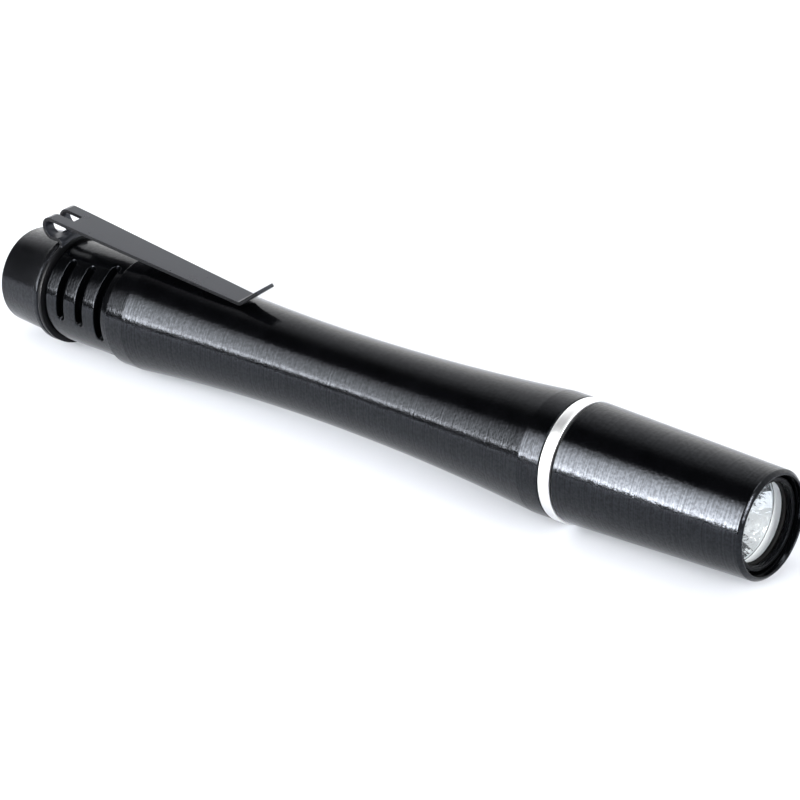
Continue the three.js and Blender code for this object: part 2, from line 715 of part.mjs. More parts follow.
// Head and light module
addPiece('head_shell', weld(makeHead()), BLACK_ANODISED);
const bezelRear = lensFront + SEAT + 2 * SEAL_RADIUS + SEAT;
const bezelRadius = lensBore - SLIP / 2;
addPiece('bezel_ring', weld(ring(bezelRear, bezelRear + BEZEL_WIDTH, bezelRadius - BEZEL_LIP, bezelRadius)),
  BLACK_ANODISED);
addPiece('lens', weld(makeLens()), GLASS);
addPiece('lens_o_ring', weld(seal(lensFront + SEAT + SEAL_RADIUS, lensRadius - SEAL_RADIUS)), RUBBER);
addPiece('reflector', weld(makeReflector()), CHROME);
addPiece('led_emitter', makeLed(), EMITTER);
const gasketInner = LED_SIZE / Math.SQRT2 + SLIP;
addPiece('led_gasket', weld(ring(gasketFront - GASKET_THICKNESS, gasketFront - SEAT, gasketInner,
  gasketInner + GASKET_WALL)), BOARD_WHITE);
addPiece('led_board', weld(cylinder(boardRear, boardFront, BOARD_RADIUS)), BOARD_WHITE);
addPiece('led_pill', makePill(), BRASS);
addPiece('driver_board', makeDriver(), CIRCUIT_GREEN);
const leads = [['led_lead_positive', 1, LEAD_RED], ['led_lead_negative', -1, LEAD_BLACK]];
for (const [name, side, finish] of leads) {
  const lead = cylinder(driverFront + SEAT, boardRear - SEAT, LEAD_RADIUS, side * LEAD_OFFSET);
  addPiece(name, weld(lead), finish);
}
addPiece('front_contact_spring', spring('front_contact_spring', frontCellTip + SEAT, driverRear - SEAT,
  FRONT_SPRING_TURNS, SPRING_TIP_RADIUS, 2 * SPRING_TIP_RADIUS), SPRING_STEEL);

// Barrel, trim ring and cells
addPiece('trim_ring', weld(ring(trimRear, trimRear + TRIM_WIDTH, frontNeck + SLIP, trimRadius, TRIM_CHAMFER)),
  BRIGHT_ALUMINIUM);
addPiece('barrel', makeBarrel(), BLACK_ANODISED);
const headSealStation = barrelFront + FRONT_GROOVE_START + FRONT_GROOVE_WIDTH / 2;
addPiece('head_o_ring', weld(seal(headSealStation, headSocket - SEAL_RADIUS - SEAT)), RUBBER);
addPiece('rear_cell', weld(makeCell(rearCellStart)), CELL_WRAP);
addPiece('front_cell', weld(makeCell(rearCellStart + cellPitch)), CELL_WRAP);

// Clip and tail
addPiece('pocket_clip', makeClip(), CLIP_BLACK);
addPiece('tail_cap', weld(makeTailCap()), TAIL_BLACK);
addPiece('tail_o_ring', weld(seal(clipRingMiddle, tailNeck + SEAL_RADIUS + SEAT)), RUBBER);
addPiece('tail_button', weld(makeButton()), BLACK_PLASTIC);
addPiece('switch_plunger', weld(makePlunger()), BOARD_WHITE);
addPiece('switch_housing', weld(makeSwitchHousing()), BLACK_PLASTIC);
addPiece('switch_spring', spring('switch_spring', plungerHeadFront + SEAT, switchBaseRear - SEAT,
  SWITCH_SPRING_TURNS, SPRING_TIP_RADIUS, SPRING_TIP_RADIUS), SPRING_STEEL);
addPiece('switch_base', weld(cylinder(switchBaseRear, switchFront, switchRoom - SLIP)), BLACK_PLASTIC);
const retainerBore = switchRadius - RETAINER_WALL;
const retainer = ring(retainerRear, retainerRear + RETAINER_WIDTH, retainerBore, switchRadius);
addPiece('switch_retainer', weld(retainer), BRASS);
addPiece('rear_contact', weld(cylinder(retainerRear, contactFront, retainerBore - SLIP)), BRASS);
addPiece('rear_contact_spring', spring('rear_contact_spring', contactFront + SEAT, rearCellStart - SEAT,
  REAR_SPRING_TURNS, 2 * SPRING_TIP_RADIUS - SPRING_WIRE, SPRING_TIP_RADIUS), SPRING_STEEL);

export default torch;
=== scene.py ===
"""A slim black pen torch: turned and anodised, with a bright ring, a sprung clip and a slotted grip."""

import math

import bmesh
import bpy
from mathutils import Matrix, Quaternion, Vector


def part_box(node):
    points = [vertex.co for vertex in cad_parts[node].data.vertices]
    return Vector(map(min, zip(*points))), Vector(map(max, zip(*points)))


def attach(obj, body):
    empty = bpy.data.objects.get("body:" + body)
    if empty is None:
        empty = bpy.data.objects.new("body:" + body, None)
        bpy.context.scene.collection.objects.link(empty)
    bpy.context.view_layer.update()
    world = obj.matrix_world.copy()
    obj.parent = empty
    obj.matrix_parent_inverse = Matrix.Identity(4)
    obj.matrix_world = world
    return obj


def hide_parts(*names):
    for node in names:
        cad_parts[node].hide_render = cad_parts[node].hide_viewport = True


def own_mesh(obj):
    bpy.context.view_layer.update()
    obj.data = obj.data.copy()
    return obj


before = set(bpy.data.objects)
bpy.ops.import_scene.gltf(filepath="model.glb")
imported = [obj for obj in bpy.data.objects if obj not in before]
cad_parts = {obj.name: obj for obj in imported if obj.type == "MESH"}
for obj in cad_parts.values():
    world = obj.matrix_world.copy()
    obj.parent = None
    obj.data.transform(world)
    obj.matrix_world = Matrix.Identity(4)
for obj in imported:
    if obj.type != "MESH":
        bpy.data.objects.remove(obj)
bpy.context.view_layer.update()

# Units and the torch's axis. Stations are millimetres from the tail end, radii are from the axis.
MM = 0.001
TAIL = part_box("tail_cap")[0].x
AXIS = sum(corner.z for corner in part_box("trim_ring")) / 2
WELD = 0.002 * MM
COLUMNS = 168  # round each turned piece, so that the ends of the slots fall on a column
SMOOTH = math.radians(40)


def span(node):
    """Stations where a node starts and ends."""
    return [(corner.x - TAIL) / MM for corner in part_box(node)]


def radius(node):
    """Radius of a turned node, from the width of its box."""
    low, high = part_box(node)
    return (high.y - low.y) / 2 / MM


# Barrel
BARREL_REAR, NECK_END = span("barrel")
FRONT_LAND = radius("barrel")
GRIP_FRONT = BARREL_REAR + 13.3
REAR_LAND_FRONT = GRIP_FRONT + 3.4
WAIST = REAR_LAND_FRONT + 34.2
TRIM_REAR, TRIM_FRONT = span("trim_ring")
BARREL_FRONT = TRIM_REAR - 0.15
FRONT_LAND_REAR = BARREL_FRONT - 3.4
GRIP = 7.66
REAR_LAND = 8.26
WAIST_RADIUS = 6.63
CELL_BORE = 5.5
THREAD_BORE = 5.95
FRONT_NECK = 6.67
NECK_GROOVE = (3.0, 4.5, 6.0)  # start and end beyond the front land, radius of its floor
THREAD_END = BARREL_REAR + 5.2
REAR_CHAMFER = 0.25
ARC_STEPS = 26
BREAK = 0.12  # rings close beside the places where the barrel's slope breaks

# Slots milled round the grip
SLOT_SETS = 3
SLOT_MIDDLES = (BARREL_REAR + 3.2, BARREL_REAR + 7.1, BARREL_REAR + 11.0)
SLOT_COLUMNS = (17, 17, 22)  # half lengths
SLOT_WIDTH = 1.5
SLOT_DEPTH = 1.2
SLOT_RIM = 0.14
SLOT_OUTSIDE = 0.9  # a face that looks this far outward lies outside the slots
SLOT_TURN = math.radians(27.9)  # the near set's middle above the level of the axis

# Tail cap
CAP_FLANGE = 8.31
CAP_NECK = 5.67
CAP_BORE = 5.05
CAP_END = 7.26
CAP_CONE = 7.71
CAP_CONE_LENGTH = 8.0
CAP_FLANGE_FRONT = 9.1
CAP_NECK_FRONT = 14.4
CAP_FLOOR = 1.4
CAP_CORNER = 0.5
CAP_CHAMFER = 0.2
BUTTON_HOLE = 3.95

# Push button
BUTTON_RADIUS = 3.68
BUTTON_CORNER = 0.7
BUTTON_DISH = ((0.25, 0), (0.15, 1.6), (0, 2.3), (0, 2.9))  # depth and radius of the hollow in its face
BUTTON_FLANGE = (0.8, 4.55)  # thickness, radius

# Pocket clip
CLIP_REAR = CAP_FLANGE_FRONT + 0.15
CLIP_FRONT = CLIP_REAR + 0.6
CLIP_MIDDLE = (CLIP_REAR + CLIP_FRONT) / 2
CLIP_RING_INNER = 6.88
CLIP_THICKNESS = 0.57
CLIP_WIDTH = 5.28
CLIP_TIP_WIDTH = 3.33
CLIP_WINDOW = 1.7
CLIP_WINDOW_FRONT = CLIP_MIDDLE + 1.55
CLIP_LOOP = (CLIP_MIDDLE - 1.75, 10.33, 1.5)  # station, height above the axis, radius
CLIP_LOOP_SLACK = 1.05  # what lies within this share of the loop's radius belongs to it
CLIP_BEND = 0.6
CLIP_TIP = (CLIP_MIDDLE + 35.2, 7.52)
CLIP_LIP_LENGTH = 4.8
CLIP_LIP_ANGLE = math.radians(35)
CLIP_LIP_LEAD = 0.35  # the bend below the lip takes up this much on both sides
CLIP_LIP_LIFT = 0.03  # and rises this far at its middle
CLIP_EDGE = 0.1

# Head and light
HEAD_REAR, RIM = span("head_shell")
HEAD_RADIUS = radius("head_shell")
HEAD_CHAMFER = 0.15
RIM_RADIUS = 7.36
RIM_CHAMFER = 0.45
RIM_BORE = 6.68
RIM_FLARE = 1.2  # depth over which the rim narrows to the lens bore
HEAD_SOCKET = 6.95
PILL_BORE = 6.3
LENS_BORE = 6.35
REFLECTOR_BORE = 5.95
LENS_REAR, LENS_FRONT = span("lens")
LENS_LEDGE = LENS_REAR - 0.15
LENS_GROUND = 0.12  # its edge is ground this far in
REFLECTOR_REAR = span("reflector")[0]
REFLECTOR_FRONT = LENS_REAR - 0.03
REFLECTOR_MOUTH = 5.6
REFLECTOR_THROAT = 2.3
REFLECTOR_FLANGE = 5.9
REFLECTOR_FLANGE_DEPTH = 0.9
REFLECTOR_FLARE = 0.8  # below 1 opens the cup toward its mouth
REFLECTOR_WALL = 0.45
REFLECTOR_WALL_END = REFLECTOR_FRONT - 1.2  # its outside is drawn up to here
FACETS = 28
FACET_ROWS = 7
PILL_REAR, PILL_FRONT = span("led_pill")
PILL_LEDGE = PILL_FRONT - 0.85  # the head's bore narrows here
TRIM_CLEARANCE = 0.25
BEZEL_WALL = 0.6

# Emitter and driver board
LED_REAR, LED_FRONT = span("led_emitter")
LED_DOME = 1.3
LED_DOME_FOOT = 0.1  # the dome starts this far below the base's face
LED_DOME_COLUMNS = 48
LED_CHIP = 0.75
LED_BASE = 0.7
LED_BORDER = 0.25
LED_WELL = 0.12
LED_EDGE = 0.06
BOARD_PADS = 3.9  # tinned pads lie outside this radius

# Cells, seals and springs
CELL_NUB = (1.9, 0.9)  # radius, height
CELL_BASE = ((0, 3.4), (0.18, 3.6), (0.18, 4.3), (0, 4.5))  # depth and radius of the groove in its flat end
CELL_BEAD = ((1.9, 0), (1.75, 0.15), (1.45, 0.15), (1.3, 0))  # groove in its wall: below the shoulder, depth
CELL_WELL = ((0, 4.55), (0.25, 4.4), (0.25, CELL_NUB[0] + 0.7))  # depth and radius of the well round the nub
CELL_WRAP_EDGE = 4.75  # the wrap turns in this far at both ends
SEAL_WIRE = 0.35
SPRING_WIRE = 0.28
SPRING_FIT = 0.98  # keeps the round wire inside its solid's box
SPRING_SIDES = 12
WINDING_STEPS = 28  # in each turn of a spring or a thread
FRONT_COIL = (1.5, 3.0, 5)  # radius at its rear, radius at its front, turns
REAR_COIL = (2.72, 1.5, 3.5)
SWITCH_COIL = (1.5, 1.5, 3.5)

# Thread on the tail cap's neck
THREAD_SPAN = (11.1, 13.9)
THREAD_PITCH = 1.0
THREAD_CREST = 5.88
THREAD_ROOT = 5.6
THREAD_HALF_WIDTH = 0.34

# Photograph's camera, its place in metres and its lens in millimetres
CAMERA_PLACE = Vector((0.2609, -0.2753, 0.2071))
CAMERA_AZIMUTH = math.radians(42.79)
CAMERA_ELEVATION = math.radians(27.93)
CAMERA_ROLL = math.radians(-4.44)
CAMERA_LENS = 139.5
CAMERA_SENSOR = 36

# Studio, in metres: a pale floor, soft light from the far side, a key lamp high up, a lamp in front of the
# torch, and a long bright card on the near left.
# Each list of stops gives places from 0 to 1 and the level there.
WHITE = (1.0, 1.0, 1.0, 1.0)
FLOOR_SIZE = 1.9
FLOOR_COLOUR = (0.7, 0.72, 0.76, 1.0)
FLOOR_GLOW = (0.06, 0.061, 0.064, 1.0)
CARD_LOW = Vector((-0.41, -0.718, 0.077))
CARD_HIGH = Vector((-0.41, -0.38, 0.62))
CARD_WIDTH = 0.46
CARD_LIGHT = 84.0
CARD_LEAN = 0.173  # the lit part starts lower toward the right
CARD_START = 0.17
CARD_ACROSS = (
    (0.0, 0.0), (0.05, 0.18), (0.12, 0.25), (0.33, 0.24), (0.42, 0.35), (0.53, 0.62), (0.7, 0.9), (1.0, 1.25))
CARD_RISE = (
    (0.0, 0.68), (0.055, 0.68), (0.1, 0.52), (0.25, 0.37), (0.46, 0.27), (0.656, 0.195), (0.86, 0.065),
    (1.0, 0.015))
CARD_FOOT = ((0.0, 0.21), (0.055, 0.21), (0.09, 0.0))
KEY_PLACE = Vector((0.06, 0.15, 1.05))
KEY_SIZE = (0.5, 0.5)
KEY_POWER = 3.0
FRONT_PLACE = Vector((0.784, -0.239, 0.41))
FRONT_SIZE = (0.12, 0.62)
FRONT_ROLL = math.radians(-37)
FRONT_POWER = 6.6
SURROUND_LIGHT = 1.8
SURROUND_STOPS = ((0.0, 0.015), (0.1, 0.09), (0.2, 0.2), (0.35, 0.43), (0.5, 0.58), (0.7, 0.83), (0.9, 1.0))
AHEAD_STOPS = ((0.1, 0.0), (0.35, 0.45))
BEHIND_STOPS = ((0.7, 0.0), (0.78, 1.0))
BEHIND_GAIN = 2.0


class Socket:
    """An output in a material's node tree. Arithmetic on it adds Math nodes."""

    def __init__(self, tree, output=None):
        self.tree = tree
        self.output = output

    def add(self, kind, settings=None, inputs=None, output=0):
        """Adds a node, with its settings first and then the values or links of its inputs."""
        node = self.tree.nodes.new(kind)
        for key, value in (settings or {}).items():
            if key == "stops":
                self.set_stops(node.color_ramp, value)
            else:
                setattr(node, key, value)
        for key, value in (inputs or {}).items():
            self.feed(node.inputs[key], value)
        return Socket(self.tree, node.outputs[output])

    def feed(self, target, value):
        if isinstance(value, Socket):
            self.tree.links.new(value.output, target)
        else:
            target.default_value = value

    @staticmethod
    def set_stops(ramp, stops):
        while len(ramp.elements) < len(stops):
            ramp.elements.new(1.0)
        for element, (position, level) in zip(ramp.elements, stops):
            element.position = position
            element.color = (level, level, level, 1.0)

    def math(self, operation, first, second=0.0):
        return self.add("ShaderNodeMath", {"operation": operation}, {0: first, 1: second})

    def __add__(self, other):
        return self.math("ADD", self, other)

    __radd__ = __add__

    def __mul__(self, other):
        return self.math("MULTIPLY", self, other)

    __rmul__ = __mul__

    def __sub__(self, other):
        return self.math("SUBTRACT", self, other)

    def __rsub__(self, other):
        return self.math("SUBTRACT", other, self)

    def __pow__(self, other):
        return self.math("POWER", self, other)

    def __gt__(self, other):
        return self.math("GREATER_THAN", self, other)

    def __lt__(self, other):
        return self.math("LESS_THAN", self, other)

    def mix(self, first, second):
        """First colour where this is 0, second where it is 1."""
        return self.add("ShaderNodeMix", {"data_type": "RGBA"}, {0: self, 6: first, 7: second}, 2)

    def noise(self, place, scale, detail):
        return self.add("ShaderNodeTexNoise", None, {"Vector": place, "Scale": scale, "Detail": detail})

    def lines(self, place, scale, detail):
        """Noise along one direction, as the marks of a cutting tool."""
        return self.add("ShaderNodeTexNoise", {"noise_dimensions": "1D"},
                        {"W": place, "Scale": scale, "Detail": detail})

    def spread(self, low, high):
        """Stretches the part from low to high over 0 to 1."""
        return self.add("ShaderNodeMapRange", None,
                        {"Value": self, "From Min": low, "From Max": high})

    def shape(self, stops):
        """A level that follows stops of (place, level)."""
        return self.add("ShaderNodeValToRGB", {"stops": stops}, {0: self})

    def bump(self, strength, distance):
        return self.add("ShaderNodeBump", None,
                        {"Strength": strength, "Distance": distance, "Height": self})


SHEEN = (0.83, 0.89, 1.0, 1.0)  # the coat's reflections are a little blue
COAT_GRAIN = 0.06  # how far the coat's gloss varies from grain to grain
TOOL_SLANT = 0.8  # spreads the turning marks over end faces as well as walls
CUT_EDGE = 0.8  # a clip face that looks this far sideways is a cut edge, and is given painted shade


def new_finish(name, colour=(0.8, 0.8, 0.8), **constants):
    """A material, its node tree and its shader's inputs, with the constant values set."""
    material = bpy.data.materials.new(name)
    material.use_nodes = True
    shader = material.node_tree.nodes["Principled BSDF"]
    shader.inputs["Base Color"].default_value = (*colour, 1.0)
    for key, value in constants.items():
        shader.inputs[key.replace("_", " ").title().replace("Ior", "IOR")].default_value = value
    return material, Socket(material.node_tree), shader.inputs


def places(tree):
    """The place on a piece, its distance along the torch and its distance from the axis."""
    place = tree.add("ShaderNodeTexCoord", output="Object")
    split = tree.add("ShaderNodeSeparateXYZ", None, {0: place})
    along, side, height = (Socket(tree.tree, output) for output in split.output.node.outputs)
    rise = height - AXIS
    return place, along, (side * side + rise * rise) ** 0.5


def own_shader(material):
    """The shader that a new finish starts with."""
    return Socket(material.node_tree, material.node_tree.nodes["Principled BSDF"].outputs[0])


def show_both(material, tree, share, first, second):
    """Shows the first shader where share is 0 and the second where it is 1."""
    both = tree.add("ShaderNodeMixShader", None, {0: share, 1: first, 2: second})
    tree.feed(material.node_tree.nodes["Material Output"].inputs["Surface"], both)


def anodised(name, colour, worn, rough, line_depth, ior):
    """Black anodised aluminium with the fine rings that the turning tool leaves under the coat."""
    material, tree, inputs = new_finish(name, ior=ior + COAT_GRAIN, specular_tint=SHEEN)
    place, along, out = places(tree)
    course = along + out * TOOL_SLANT
    fine = tree.lines(course, 3600.0, 3.0)
    broad = tree.lines(course, 700.0, 2.0)
    cloud = tree.noise(place, 260.0, 3.0)
    speck = tree.noise(place, 2600.0, 2.0)
    tint = cloud.spread(0.3, 0.75).mix((*colour, 1.0), (*worn, 1.0))
    gloss = rough + (fine - 0.5) * 0.1 + (cloud - 0.5) * 0.08
    relief = (fine * 0.7 + broad * 0.6 + speck * 1.3).bump(1.0, line_depth)
    tree.feed(inputs["Base Color"], tint)
    tree.feed(inputs["Roughness"], gloss)
    tree.feed(inputs["Normal"], relief)
    dull = tree.add("ShaderNodeBsdfPrincipled", None, {
        "Base Color": tint, "Roughness": gloss, "Normal": relief,
        "IOR": ior - COAT_GRAIN, "Specular Tint": SHEEN})
    grain = (fine * 0.42 + speck * 0.58).spread(0.38, 0.62)
    show_both(material, tree, grain, own_shader(material), dull)
    return material


def bright_aluminium(name):
    """Bare turned aluminium, left bright."""
    material, tree, inputs = new_finish(name, metallic=1.0)
    place, along, out = places(tree)
    fine = tree.lines(along + out * TOOL_SLANT, 5200.0, 3.0)
    cloud = tree.noise(place, 300.0, 2.0)
    tree.feed(inputs["Base Color"], cloud.mix((0.9, 0.905, 0.915, 1.0), (0.96, 0.96, 0.965, 1.0)))
    tree.feed(inputs["Roughness"], 0.3 + fine * 0.14)
    tree.feed(inputs["Normal"], fine.bump(1.0, 0.000004))
    return material


def coated_steel(name):
    """Spring steel under a thin satin black coat with a fine grain, with painted shade on its cut edges and
    its ring: a darker, less reflective copy of the coat there dims their highlights.
    """
    material, tree, inputs = new_finish(name, ior=1.52, specular_tint=SHEEN)
    place, along, out = places(tree)
    # the ring and the cut edges get painted shade, which dims their highlights
    ring_part = (out < CAP_FLANGE * MM) * (along < TAIL + (CLIP_FRONT + CLIP_BEND) * MM)
    facing = tree.add("ShaderNodeNewGeometry", output="Normal")
    across = tree.add("ShaderNodeSeparateXYZ", None, {0: facing}, 1)
    painted_shade_part = tree.math("MAXIMUM", ring_part, tree.math("ABSOLUTE", across) > CUT_EDGE)
    grain = tree.noise(place, 4200.0, 2.0)
    cloud = tree.noise(place, 350.0, 3.0)
    colour = cloud.mix((0.008, 0.0085, 0.011, 1.0), (0.016, 0.017, 0.021, 1.0))
    relief = grain.bump(0.6, 0.000006)
    tree.feed(inputs["Base Color"], colour)
    tree.feed(inputs["Roughness"], 0.24 + cloud * 0.1)
    tree.feed(inputs["Normal"], relief)
    # painted shade: a darker, less reflective copy of the coat
    dull = tree.add("ShaderNodeBsdfPrincipled", None, {
        "Base Color": (0.004, 0.0042, 0.005, 1.0), "Roughness": 0.35, "IOR": 1.25, "Normal": relief})
    show_both(material, tree, painted_shade_part, own_shader(material), dull)
    return material


def turned_metal(name, colour, dull, rough):
    """Bare turned metal, a little tarnished."""
    material, tree, inputs = new_finish(name, metallic=1.0)
    place, along, out = places(tree)
    fine = tree.lines(along + out * TOOL_SLANT, 4200.0, 2.0)
    cloud = tree.noise(place, 500.0, 4.0)
    tree.feed(inputs["Base Color"], cloud.spread(0.35, 0.7).mix((*colour, 1.0), (*dull, 1.0)))
    tree.feed(inputs["Roughness"], rough + fine * 0.15)
    tree.feed(inputs["Normal"], fine.bump(0.8, 0.000006))
    return material


def mirror_chrome(name):
    """Bright plated reflector, a little rippled so that it spreads the light."""
    material, tree, inputs = new_finish(name, metallic=1.0)
    place = places(tree)[0]
    ripple = tree.noise(place, 900.0, 2.0)
    tree.feed(inputs["Base Color"], ripple.mix((0.86, 0.88, 0.92, 1.0), (0.97, 0.975, 0.98, 1.0)))
    tree.feed(inputs["Roughness"], 0.08 + ripple * 0.14)
    tree.feed(inputs["Normal"], ripple.bump(1.0, 0.00012))
    return material


def clear_glass(name):
    """Flat float glass: clear with a faint mirror, white where its edge is ground."""
    material, tree, inputs = new_finish(name, colour=(0.93, 0.94, 0.95))
    place, _, out = places(tree)
    smear = tree.noise(place, 320.0, 3.0)
    ground = out > (radius("lens") - LENS_GROUND) * MM
    tree.feed(inputs["Metallic"], 1 - ground)
    tree.feed(inputs["Roughness"], 0.015 + smear * 0.03 + ground * 0.5)
    clear = tree.add("ShaderNodeBsdfTransparent", None, {"Color": (0.98, 0.99, 0.99, 1.0)})
    show_both(material, tree, 0.06 + ground * 0.84, clear, own_shader(material))
    return material


def moulded(name, colour, mottle, rough, ior=1.5):
    """Moulded plastic or rubber with a fine grain."""
    material, tree, inputs = new_finish(name, ior=ior)
    place = places(tree)[0]
    grain = tree.noise(place, 1800.0, 3.0)
    cloud = tree.noise(place, 240.0, 2.0)
    tree.feed(inputs["Base Color"], cloud.mix((*colour, 1.0), (*mottle, 1.0)))
    tree.feed(inputs["Roughness"], rough + (grain - 0.5) * 0.15)
    tree.feed(inputs["Normal"], grain.bump(0.35, 0.00002))
    return material


def drawn_wire(name):
    """Bright spring wire with the fine marks of drawing."""
    material, tree, inputs = new_finish(name, metallic=1.0)
    place = places(tree)[0]
    grain = tree.noise(place, 3000.0, 3.0)
    tree.feed(inputs["Base Color"], grain.mix((0.5, 0.5, 0.51, 1.0), (0.68, 0.68, 0.69, 1.0)))
    tree.feed(inputs["Roughness"], 0.2 + grain * 0.2)
    tree.feed(inputs["Normal"], grain.bump(0.3, 0.00001))
    return material


def wrapped_cell(name):
    """A cell's plain foil wrap, bare metal at its two ends."""
    material, tree, inputs = new_finish(name)
    place, _, out = places(tree)
    foil = tree.noise(place, 900.0, 2.0)
    bare = out < CELL_WRAP_EDGE * MM
    wrap = foil.mix((0.06, 0.07, 0.09, 1.0), (0.08, 0.09, 0.115, 1.0))
    tree.feed(inputs["Base Color"], bare.mix(wrap, (0.7, 0.69, 0.67, 1.0)))
    tree.feed(inputs["Metallic"], bare)
    tree.feed(inputs["Roughness"], 0.22 + foil * 0.2)
    tree.feed(inputs["Normal"], foil.bump(0.2, 0.00002))
    return material


def emitter_glow(name):
    """Pale ceramic base under a clear dome with the violet chip showing through."""
    material, tree, inputs = new_finish(name)
    place, along, out = places(tree)
    speck = tree.noise(place, 4000.0, 2.0)
    base = speck.mix((0.78, 0.78, 0.74, 1.0), (0.86, 0.86, 0.83, 1.0))
    dome = (out < LED_DOME * MM) * (along > TAIL + (LED_FRONT - LED_DOME) * MM)
    chip = (out < LED_CHIP * MM) * dome
    lit = chip.mix((0.62, 0.58, 0.72, 1.0), (0.3, 0.22, 0.5, 1.0))
    tree.feed(inputs["Base Color"], dome.mix(base, lit))
    tree.feed(inputs["Roughness"], 0.5 - dome * 0.44 + speck * 0.05)
    tree.feed(inputs["Normal"], speck.bump(0.1, 0.00001))
    return material


def solder_mask(name):
    """Green circuit board with bright tinned pads near its rim."""
    material, tree, inputs = new_finish(name)
    place, _, out = places(tree)
    weave = tree.noise(place, 2600.0, 2.0)
    pads = (out > BOARD_PADS * MM) * (tree.noise(place, 500.0, 0.0) > 0.52)
    green = weave.mix((0.015, 0.1, 0.04, 1.0), (0.025, 0.15, 0.06, 1.0))
    tree.feed(inputs["Base Color"], pads.mix(green, (0.72, 0.72, 0.7, 1.0)))
    tree.feed(inputs["Metallic"], pads)
    tree.feed(inputs["Roughness"], 0.35 + weave * 0.2)
    tree.feed(inputs["Normal"], (weave + pads).bump(0.3, 0.00003))
    return material


def only(piece):
    """Makes a piece the one selected and active object."""
    bpy.ops.object.select_all(action="DESELECT")
    piece.select_set(True)
    bpy.context.view_layer.objects.active = piece


def select_whole():
    bpy.ops.mesh.select_all(action="SELECT")


def edit(piece):
    """Opens a piece in edit mode with all of it selected."""
    only(piece)
    bpy.ops.object.mode_set(mode="EDIT")
    select_whole()


def leave_edit():
    bpy.ops.object.mode_set(mode="OBJECT")


def extrude(move):
    bpy.ops.mesh.extrude_region_move(TRANSFORM_OT_translate={"value": move})


def draw(points):
    """Moves the one selected vertex to the first point and draws it out through the rest."""
    bpy.ops.transform.translate(value=points[0])
    for here, there in zip(points, points[1:]):
        extrude(there - here)


def name_new(name):
    """Names the piece that was just added."""
    piece = bpy.context.active_object
    piece.name = name
    piece.data.name = name
    return piece


def start_piece(name):
    """A piece of one vertex at the origin, in edit mode."""
    bpy.ops.object.select_all(action="DESELECT")
    bpy.ops.mesh.primitive_plane_add(size=MM)
    piece = name_new(name)
    edit(piece)
    bpy.ops.mesh.select_mode(type="VERT")
    select_whole()
    bpy.ops.mesh.merge(type="CENTER")
    return piece


def pick(piece, kind, test):
    """Selects the faces, edges or vertices that pass a test, and nothing else."""
    bpy.ops.mesh.select_mode(type={"faces": "FACE", "edges": "EDGE", "verts": "VERT"}[kind])
    bpy.ops.mesh.select_all(action="DESELECT")
    mesh = bmesh.from_edit_mesh(piece.data)
    for element in getattr(mesh, kind):
        if test(element):
            element.select_set(True)
    mesh.select_flush_mode()
    bmesh.update_edit_mesh(piece.data)


def close_skin():
    """Welds the points that meet and turns all faces outward."""
    select_whole()
    bpy.ops.mesh.remove_doubles(threshold=WELD)
    bpy.ops.mesh.normals_make_consistent(inside=False)


def modify(piece, kind, **settings):
    """Adds a modifier, sets it and applies it."""
    only(piece)
    bpy.ops.object.modifier_add(type=kind)
    modifier = piece.modifiers[-1]
    for key, value in settings.items():
        setattr(modifier, key, value)
    bpy.ops.object.modifier_apply(modifier=modifier.name)


def soften(piece, edge, segments=3):
    """Rounds the sharp edges."""
    modify(piece, "BEVEL", width=edge * MM, segments=segments, limit_method="ANGLE",
           angle_limit=SMOOTH, use_clamp_overlap=False, miter_outer="MITER_ARC")


def shade(piece):
    """Smooths all but the sharp edges, with flat faces kept flat."""
    only(piece)
    bpy.ops.object.shade_smooth_by_angle(angle=SMOOTH)
    modify(piece, "WEIGHTED_NORMAL", keep_sharp=True, weight=80)
    return piece


def join(piece, other):
    """Makes another piece part of the first."""
    only(piece)
    other.select_set(True)
    bpy.ops.object.join()


def dress(piece, material, body, slot, *nodes):
    """Gives a finished piece its material and its body, and hides the solids that it stands for. The slot is
    not used.
    """
    piece.data.materials.clear()
    piece.data.materials.append(material)
    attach(piece, body)
    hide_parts(*nodes)


def turned(name, outline, edge=0.0, columns=COLUMNS):
    """Turns an outline of (station, radius) about the torch's axis."""
    piece = start_piece(name)
    draw([Vector((TAIL + station * MM, 0, AXIS + out * MM)) for station, out in outline])
    select_whole()
    bpy.ops.mesh.spin(steps=columns, angle=2 * math.pi, center=(0, 0, AXIS), axis=(1, 0, 0))
    close_skin()
    leave_edit()
    if edge:
        soften(piece, edge)
    return piece


def ring(name, rear, front, inner, outer, edge):
    """A plain ring between two stations and two radii."""
    return turned(name, [(rear, inner), (rear, outer), (front, outer), (front, inner), (rear, inner)], edge)


def arc(centre, out, start, end, steps):
    """Points of an arc of (station, radius), angles from the forward direction toward outside."""
    angles = [start + (end - start) * i / steps for i in range(steps + 1)]
    return [(centre[0] + out * math.cos(a), centre[1] + out * math.sin(a)) for a in angles]


def waist_radius(station):
    """Two arcs meet in a level tangent at the barrel's thinnest place."""
    behind = station < WAIST
    rise = (REAR_LAND if behind else FRONT_LAND) - WAIST_RADIUS
    run = WAIST - REAR_LAND_FRONT if behind else FRONT_LAND_REAR - WAIST
    sweep = (run * run + rise * rise) / (2 * rise)
    return WAIST_RADIUS + sweep - math.sqrt(sweep * sweep - (station - WAIST) ** 2)


